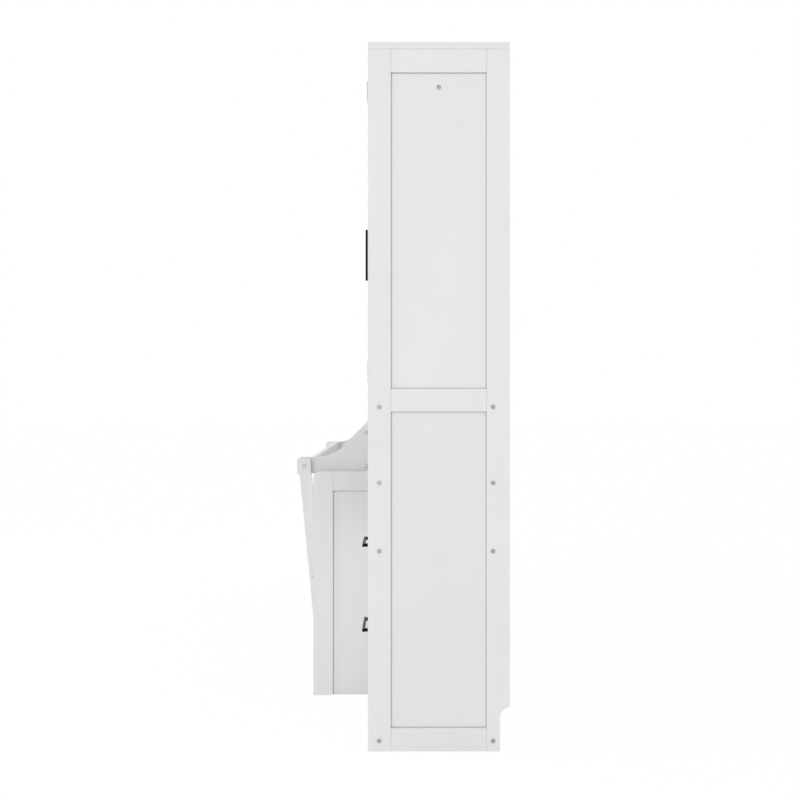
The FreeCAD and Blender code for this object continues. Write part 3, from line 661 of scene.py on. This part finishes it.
@dataclass(frozen=True)
class ScrewHead:
    """Head of a wood screw or a nail, drawn from its seat outwards."""

    radius_mm: float
    height_mm: float
    rim_mm: float
    recess_mm: float = 0.0
    wing_thick_mm: float = 1.1
    wing_lengths: tuple[float, float] = (0.55, 1.25)
    wing_widths: tuple[float, float] = (0.7, 1.1)
    seat_mm: float = 0.3
    sides: int = 32
    rings: int = 5

    def rings_of_head(self) -> list[tuple[float, float]]:
        """Half outline of the head.

        Returns:
            Radius and height of each ring in metres, from below the seat to the crown.
        """
        points = [(mm(self.radius_mm), mm(-self.seat_mm)), (mm(self.radius_mm), mm(self.rim_mm))]
        rise = self.height_mm - self.rim_mm
        for step in range(1, self.rings):
            turn = math.radians(QUARTER_TURN_DEG * step / self.rings)
            points.append((mm(self.radius_mm * math.cos(turn)), mm(self.rim_mm + rise * math.sin(turn))))
        return points

    def turned(self) -> bpy.types.Object:
        """Solid head with no recess.

        Returns:
            A closed mesh object, seated at the origin and facing +Z.
        """
        mesh = bmesh.new()
        loops = []
        for radius, height in self.rings_of_head():
            ring = []
            for side in range(self.sides):
                turn = math.tau * side / self.sides
                ring.append(mesh.verts.new((radius * math.cos(turn), radius * math.sin(turn), height)))
            loops.append(ring)
        for lower, upper in zip(loops, loops[1:]):
            for side in range(self.sides):
                after = (side + 1) % self.sides
                mesh.faces.new((lower[side], lower[after], upper[after], upper[side]))
        mesh.faces.new(reversed(loops[0]))
        mesh.faces.new(loops[-1])
        return as_piece(mesh, "screw_head")

    def wing(self, turned: bool) -> bpy.types.Object:
        """One wing of the cross recess, narrower at its bottom.

        Args:
            turned: Whether the wing lies along Y.

        Returns:
            A closed wedge that cuts the head.
        """
        mesh = bmesh.new()
        bmesh.ops.create_cube(mesh, size=1.0)
        for vertex in mesh.verts:
            end = 0 if vertex.co.z < 0 else 1
            length = mm(self.radius_mm) * self.wing_lengths[end]
            thick = mm(self.wing_thick_mm) * self.wing_widths[end]
            level = mm(self.height_mm + (self.recess_mm if end else -self.recess_mm))
            along = math.copysign(length / 2, vertex.co.x)
            across = math.copysign(thick / 2, vertex.co.y)
            vertex.co = (across, along, level) if turned else (along, across, level)
        bmesh.ops.recalc_face_normals(mesh, faces=mesh.faces)
        return as_piece(mesh, "recess_wing")

    def mesh(self) -> bpy.types.Mesh:
        """Head with its recess, if it has one.

        Returns:
            One closed mesh to be copied for each screw.
        """
        head = self.turned()
        cutters = [self.wing(turned) for turned in (False, True)] if self.recess_mm else []
        for cutter in cutters:
            cut = head.modifiers.new("recess", "BOOLEAN")
            cut.operation = "DIFFERENCE"
            cut.solver = "EXACT"
            cut.object = cutter
        graph = bpy.context.evaluated_depsgraph_get()
        finished = bpy.data.meshes.new_from_object(head.evaluated_get(graph))
        for temporary in (head, *cutters):
            bpy.data.objects.remove(temporary)
        return finished


class Fixing(Enum):
    """Heads of the small fixings."""

    PAN_SCREW = ScrewHead(radius_mm=4.4, height_mm=2.4, rim_mm=0.9, recess_mm=1.5)
    FLUSH_SCREW = ScrewHead(radius_mm=3.4, height_mm=0.35, rim_mm=0.15, recess_mm=0.3, wing_thick_mm=0.9)
    PANEL_NAIL = ScrewHead(radius_mm=3.0, height_mm=1.0, rim_mm=0.3)


@dataclass
class Screws:
    """Drives groups of small fixings into the faces of boards and plates."""

    paintbox: Paintbox
    turn_deg: float = 37.0
    sharp_deg: float = 35.0
    heads: dict[Fixing, bpy.types.Mesh] = field(init=False)

    def __post_init__(self) -> None:
        """Make each head once."""
        self.heads = {fixing: fixing.value.mesh() for fixing in Fixing}

    def drive(self, name: str, body: str, fixing: Fixing, seats: list[Seat]) -> None:
        """Set a group of fixings as one piece, each turned a little further than the last.

        Args:
            name: The piece's name.
            body: The body that carries them.
            fixing: Their kind.
            seats: Seat and outward direction of each one.
        """
        mesh = bmesh.new()
        for number, (seat, outward) in enumerate(seats):
            turn = Matrix.Rotation(math.radians(self.turn_deg * number), MATRIX_ROWS, "Z")
            stand = UP.rotation_difference(outward).to_matrix().to_4x4()
            start = len(mesh.verts)
            mesh.from_mesh(self.heads[fixing])
            mesh.verts.ensure_lookup_table()
            placed = Matrix.Translation(seat) @ stand @ turn
            bmesh.ops.transform(mesh, matrix=placed, verts=mesh.verts[start:])
        for face in mesh.faces:
            face.smooth = True
        piece = as_piece(mesh, name)
        piece.data.set_sharp_from_angle(angle=math.radians(self.sharp_deg))
        self.paintbox.paint(piece, Slot.ZINC_STEEL)
        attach(piece, body)
        LOG.info("%s on %s: %d", name, body, len(seats))


@dataclass
class Cabinets:
    """The two tall cabinets, with their doors and drawers."""

    finisher: Finisher
    screws: Screws
    board_edging: Edging = Edging(arris_mm=0.9, joint_mm=2.0, steps=3)
    wing_edging: Edging = Edging(arris_mm=0.9, joint_mm=3.0, steps=3)
    thin_edging: Edging = Edging(arris_mm=0.6, joint_mm=0.8)
    metal_edging: Edging = Edging(arris_mm=0.5, joint_mm=0.3)
    leaf_edging: Edging = Edging(arris_mm=0.2, joint_mm=0.1)
    leaf_mm: float = 0.9
    leaf_screw_inset_mm: float = 12.0
    leaf_screw_rises_mm: tuple[float, ...] = (-22.0, 0.0, 22.0)
    nail_margin_mm: float = 40.0
    nails_across: int = 5
    wall_screw_rise_mm: float = 45.0
    wall_screw_spread: float = 0.3
    board_nodes: tuple[str, ...] = (
        "outer_side", "inner_side", "fixed_shelves", "front_rails", "door")

    def build(self) -> None:
        """Finish both cabinets and what they share, and fix their small parts."""
        for side, sign in SIDES.items():
            self.finish_side(side)
            self.screw_leaves(side, sign)
            for level in DRAWERS:
                self.screw_drawer(f"{side}_{level}_drawer")
        shared = ["top_boards", "bay_fascia", "cross_rails"]
        self.finisher.finish(shared, Slot.WHITE_LACQUER, self.board_edging)
        self.finisher.finish(["back_panels"], Slot.WHITE_LACQUER, self.thin_edging)
        self.nail_backs()

    def finish_side(self, side: str) -> None:
        """Finish one cabinet, with its door and its drawers.

        Args:
            side: The cabinet's side.
        """
        boards = [f"{side}_{name}" for name in self.board_nodes]
        boards += [f"{side}_{level}_drawer_front" for level in DRAWERS]
        self.finisher.finish(boards, Slot.WHITE_LACQUER, self.board_edging)
        self.finisher.finish([f"{side}_base_side"], Slot.WHITE_LACQUER, self.wing_edging)
        boxes = [f"{side}_{level}_drawer_box" for level in DRAWERS]
        self.finisher.finish(boxes, Slot.WHITE_LACQUER, self.thin_edging)
        self.finisher.finish([f"{side}_drawer_runners"], Slot.SLAT_PINE, self.thin_edging)
        handles = [f"{side}_door_handle"] + [f"{side}_{level}_drawer_handle" for level in DRAWERS]
        self.finisher.finish(handles, Slot.BLACK_METAL, self.metal_edging)
        self.finisher.finish([f"{side}_clothes_rail"], Slot.CHROME_PLATE, self.metal_edging)
        leaves = [f"{side}_hinge_case_leaves", f"{side}_hinge_door_leaves"]
        self.finisher.finish(leaves, Slot.CHROME_PLATE, self.leaf_edging)

    def screw_leaves(self, side: str, sign: float) -> None:
        """Screw each hinge leaf to the case or to the door.

        Args:
            side: The cabinet's side.
            sign: 1 on the right and -1 on the left.
        """
        shelf_low, shelf_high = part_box(f"{side}_fixed_shelves")
        door_low, door_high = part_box(f"{side}_door")
        case_x = shelf_high.x if sign > 0 else shelf_low.x
        door_x = door_high.x if sign > 0 else door_low.x
        faces = {"case": (case_x - sign * mm(self.leaf_mm), -sign, "carcass"),
                 "door": (door_x + sign * mm(self.leaf_mm), sign, f"{side}_door")}
        for kind, (x, outward, body) in faces.items():
            seats = []
            for leaf in self.finisher.solids[f"{side}_hinge_{kind}_leaves"]:
                y = leaf.high.y - mm(self.leaf_screw_inset_mm)
                for rise in self.leaf_screw_rises_mm:
                    seats.append((Vector((x, y, leaf.middle.z + mm(rise))), Vector((outward, 0, 0))))
            self.screws.drive(f"{side}_hinge_{kind}_screws", body, Fixing.FLUSH_SCREW, seats)

    def screw_drawer(self, drawer: str) -> None:
        """Screw a drawer's box to its front from inside.

        Args:
            drawer: The drawer's body.
        """
        solids = self.finisher.solids[f"{drawer}_box"]
        walls = [solid for solid in solids if solid.longest_first[-1] == DEPTH_AXIS]
        fore = min(walls, key=lambda wall: wall.low.y)
        middle = fore.middle
        seats = []
        for across in (-self.wall_screw_spread, self.wall_screw_spread):
            for rise in (-mm(self.wall_screw_rise_mm), mm(self.wall_screw_rise_mm)):
                seat = Vector((middle.x + across * fore.size.x, fore.high.y, middle.z + rise))
                seats.append((seat, TO_WALL))
        self.screws.drive(f"{drawer}_front_screws", drawer, Fixing.PAN_SCREW, seats)

    def nail_backs(self) -> None:
        """Nail each back panel to the shelves that end at it."""
        seats = []
        panel_low, panel_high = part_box("back_panels")
        for side in SIDES:
            for shelf in self.finisher.solids[f"{side}_fixed_shelves"]:
                level = shelf.middle.z
                if level < panel_low.z:
                    continue
                run = shelf.size.x - 2 * mm(self.nail_margin_mm)
                for step in range(self.nails_across):
                    x = shelf.low.x + mm(self.nail_margin_mm) + run * step / (self.nails_across - 1)
                    seats.append((Vector((x, panel_high.y, level)), TO_WALL))
        self.screws.drive("back_panel_nails", "carcass", Fixing.PANEL_NAIL, seats)


@dataclass
class Bed:
    """The fold-down bed, its ledge, its arms and its drop legs."""

    finisher: Finisher
    screws: Screws
    board_edging: Edging = Edging(arris_mm=1.1, joint_mm=2.0, steps=3)
    slat_edging: Edging = Edging(arris_mm=2.5, joint_mm=2.5, steps=3)
    screw_inset_mm: float = 11.0

    def build(self) -> None:
        """Finish the bed and screw its slats down."""
        boards = ["bed_frame_rails", "bed_face_frame", "bed_face_panels", "ledge_boards", "swing_arms",
                  "arm_cross_bar", "drop_legs"]
        self.finisher.finish(boards, Slot.WHITE_LACQUER, self.board_edging)
        self.finisher.finish(["bed_slats"], Slot.SLAT_PINE, self.slat_edging)
        self.screw_slats()

    def screw_slats(self) -> None:
        """Drive a screw through each slat into each side rail and the middle beam."""
        seats = []
        inset = mm(self.screw_inset_mm)
        for slat in self.finisher.solids["bed_slats"]:
            for x in (slat.low.x + inset, slat.middle.x, slat.high.x - inset):
                seats.append((Vector((x, slat.high.y, slat.middle.z)), TO_WALL))
        self.screws.drive("slat_screws", "bed", Fixing.PAN_SCREW, seats)


@dataclass
class Fittings:
    """Metal fittings: bolts, pivots, struts, hinges of the ledge and brackets."""

    finisher: Finisher
    screws: Screws
    edging: Edging = Edging(arris_mm=0.4, joint_mm=0.3)
    pin_plate_mm: float = 5.0
    foot_plate_mm: float = 4.0
    bush_plate_mm: float = 6.0
    lug_plate_mm: float = 3.0
    corner_mm: float = 9.0
    lug_inset_mm: float = 12.0
    lug_rises_mm: tuple[float, float] = (16.0, 50.0)
    strap_rises_mm: tuple[float, float] = (18.0, 62.0)

    def build(self) -> None:
        """Finish the fittings and screw their plates on."""
        zinc = ["carcass_bolts", "bed_pivot_pins", "arm_pivot_pins", "strut_foot_brackets",
                "bed_pivot_bushes", "strut_head_brackets", "ledge_hinge_lugs", "leg_brackets",
                "ledge_bolts", "ledge_hinge_straps", "arm_bolts"]
        self.finisher.finish(zinc, Slot.ZINC_STEEL, self.edging)
        self.finisher.finish(["strut_cylinders"], Slot.BLACK_METAL, self.edging)
        self.finisher.finish(["strut_rods"], Slot.CHROME_PLATE, self.edging)
        self.screw_plates("bed_pivot_pins", "carcass", self.pin_plate_mm, inward=True)
        self.screw_plates("strut_foot_brackets", "carcass", self.foot_plate_mm, inward=True)
        self.screw_plates("bed_pivot_bushes", "bed", self.bush_plate_mm, inward=False)
        self.screw_ledge_hinges()

    def screw_plates(self, node: str, body: str, plate_mm: float, inward: bool) -> None:
        """Drive a screw near each corner of the plates that stand on a side board or a rail.

        Args:
            node: The plates' node.
            body: The body that carries them.
            plate_mm: Thickness of a plate.
            inward: Whether the plates face the middle of the bed.
        """
        seats = []
        inset = mm(self.corner_mm)
        for plate in self.finisher.solids[node]:
            low, high = plate.low, plate.high
            on_right = low.x > 0
            seat_x = high.x if on_right == inward else low.x
            outward = -1.0 if on_right == inward else 1.0
            face = seat_x + outward * mm(plate_mm)
            for y in (low.y + inset, high.y - inset):
                for z in (low.z + inset, high.z - inset):
                    seats.append((Vector((face, y, z)), Vector((outward, 0, 0))))
        self.screws.drive(f"{node}_screws", body, Fixing.PAN_SCREW, seats)

    def screw_ledge_hinges(self) -> None:
        """Screw the ledge's hinge plates to the bed's face, and its straps to the ledge's back."""
        seats = []
        inset = mm(self.lug_inset_mm)
        for lug in self.finisher.solids["ledge_hinge_lugs"]:
            face = lug.high.y - mm(self.lug_plate_mm)
            for x in (lug.low.x + inset, lug.high.x - inset):
                for rise in self.lug_rises_mm:
                    seats.append((Vector((x, face, lug.low.z + mm(rise))), TO_ROOM))
        self.screws.drive("ledge_hinge_lugs_screws", "bed", Fixing.PAN_SCREW, seats)
        seats = []
        for strap in self.finisher.solids["ledge_hinge_straps"]:
            face = strap.low.y + mm(self.lug_plate_mm)
            for rise in self.strap_rises_mm:
                seats.append((Vector((strap.middle.x, face, strap.low.z + mm(rise))), TO_WALL))
        self.screws.drive("ledge_hinge_straps_screws", "ledge", Fixing.PAN_SCREW, seats)


@dataclass(frozen=True)
class Softbox:
    """A square soft lamp, in metres and watts."""

    name: str
    place: tuple[float, float, float]
    target: tuple[float, float, float]
    size: float
    power: float

    def hang(self) -> None:
        """Add the lamp to the scene."""
        data = bpy.data.lights.new(self.name, "AREA")
        data.size = self.size
        data.energy = self.power
        lamp = bpy.data.objects.new(self.name, data)
        lamp.location = self.place
        aim = Vector(self.target) - Vector(self.place)
        lamp.rotation_euler = aim.to_track_quat("-Z", "Y").to_euler()
        bpy.context.scene.collection.objects.link(lamp)


@dataclass
class Studio:
    """White studio with the camera at the photograph's place."""

    eye_to_side_mm: float = 3040.0
    eye_level_mm: float = 1065.0
    eye_from_wall_mm: float = 332.7
    scale_mm_per_pixel: float = 3.03
    frame_pixels: int = 800
    sensor_mm: float = 36.0
    floor_half_m: float = 60.0
    white: str = "#FFFFFF"
    floor_colour: str = "#F4F4F4"
    floor_roughness: float = 0.9
    floor_white: float = 0.92
    floor_glow: float = 1.02
    world_light: float = 0.8
    world_seen: float = 1.0
    lamps: tuple[Softbox, ...] = (
        Softbox(name="top_softbox", place=(0.6, -1.0, 4.8), target=(0.4, -0.5, 0.0), size=4.0, power=9.0),
        Softbox(name="front_softbox", place=(1.6, -5.4, 1.6), target=(0.4, 0.0, 0.9), size=4.0, power=28.0),
        Softbox(name="side_softbox", place=(6.2, -2.0, 1.5), target=(0.8, 0.0, 0.9), size=4.0, power=58.0),
    )

    def build(self) -> None:
        """Set the world, the floor, the lamps and the camera."""
        scene = bpy.context.scene
        scene.view_settings.view_transform = "Standard"
        self.world(scene)
        self.floor()
        for lamp in self.lamps:
            lamp.hang()
        self.camera(scene)

    @staticmethod
    def seen_rays(tree: bpy.types.NodeTree) -> bpy.types.NodeSocket:
        """Factor that is 1 for what the eye, a mirror or glass sees.

        Args:
            tree: The node tree.

        Returns:
            The factor's socket.
        """
        path = add_node(tree, "ShaderNodeLightPath").outputs
        seen = add_node(tree, "ShaderNodeMath", {"operation": "MAXIMUM"}, {
            0: path["Is Camera Ray"], 1: path["Is Glossy Ray"]})
        both = add_node(tree, "ShaderNodeMath", {"operation": "MAXIMUM"}, {
            0: seen.outputs[0], 1: path["Is Transmission Ray"]})
        return both.outputs[0]

    def world(self, scene: bpy.types.Scene) -> None:
        """White to the eye, and a plain even light to everything else.

        Args:
            scene: The scene that gets the world.
        """
        world = bpy.data.worlds.new("studio")
        scene.world = world
        world.use_nodes = True
        tree = world.node_tree
        strength = add_node(tree, "ShaderNodeMapRange", inputs={
            "Value": self.seen_rays(tree), "To Min": self.world_light, "To Max": self.world_seen})
        background = tree.nodes["Background"]
        background.inputs["Color"].default_value = linear(self.white)
        tree.links.new(strength.outputs["Result"], background.inputs["Strength"])

    def floor(self) -> None:
        """Pale floor that keeps the object's shadow under a white view."""
        mesh = bmesh.new()
        half = self.floor_half_m
        outline = ((-half, -half), (half, -half), (half, half), (-half, half))
        mesh.faces.new([mesh.verts.new((x, y, 0.0)) for x, y in outline])
        floor = as_piece(mesh, "studio_floor")
        surface = Surface("studio_floor_paper")
        tree = surface.tree
        surface.shader.inputs["Base Color"].default_value = linear(self.floor_colour)
        surface.shader.inputs["Roughness"].default_value = self.floor_roughness
        white = add_node(tree, "ShaderNodeEmission", inputs={
            "Color": linear(self.white), "Strength": self.floor_glow})
        share = add_node(tree, "ShaderNodeMath", {"operation": "MULTIPLY"}, {
            0: self.seen_rays(tree), 1: self.floor_white})
        mixed = add_node(tree, "ShaderNodeMixShader", inputs={
            0: share.outputs[0], 1: surface.shader.outputs["BSDF"], 2: white.outputs["Emission"]})
        tree.links.new(mixed.outputs["Shader"], tree.nodes["Material Output"].inputs["Surface"])
        floor.data.materials.append(surface.material)

    def camera(self, scene: bpy.types.Scene) -> None:
        """Level camera square to the right-hand side.

        Args:
            scene: The scene that gets the camera.
        """
        _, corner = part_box("right_outer_side")
        data = bpy.data.cameras.new("photo_camera")
        data.sensor_fit = "HORIZONTAL"
        data.sensor_width = self.sensor_mm
        frame_mm = self.frame_pixels * self.scale_mm_per_pixel
        data.lens = self.sensor_mm * self.eye_to_side_mm / frame_mm
        camera = bpy.data.objects.new("photo_camera", data)
        depth = corner.y - mm(self.eye_from_wall_mm)
        camera.location = (corner.x + mm(self.eye_to_side_mm), depth, mm(self.eye_level_mm))
        camera.rotation_euler = (math.radians(QUARTER_TURN_DEG), 0.0, math.radians(QUARTER_TURN_DEG))
        scene.collection.objects.link(camera)
        scene.camera = camera


def clear_scene() -> None:
    """Remove whatever the start-up scene holds."""
    for leftover in list(bpy.data.objects):
        bpy.data.objects.remove(leftover)


def main() -> None:
    """Build the scene in order."""
    logging.basicConfig(level=logging.INFO, format="%(name)s %(message)s")
    clear_scene()
    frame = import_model()
    paintbox = Paintbox()
    finisher = Finisher(frame["nodes"], frame["record"]["behaviour"]["bodies"], paintbox)
    screws = Screws(paintbox)
    Cabinets(finisher, screws).build()
    Bed(finisher, screws).build()
    Fittings(finisher, screws).build()
    Studio().build()


if __name__ == "__main__":
    main()
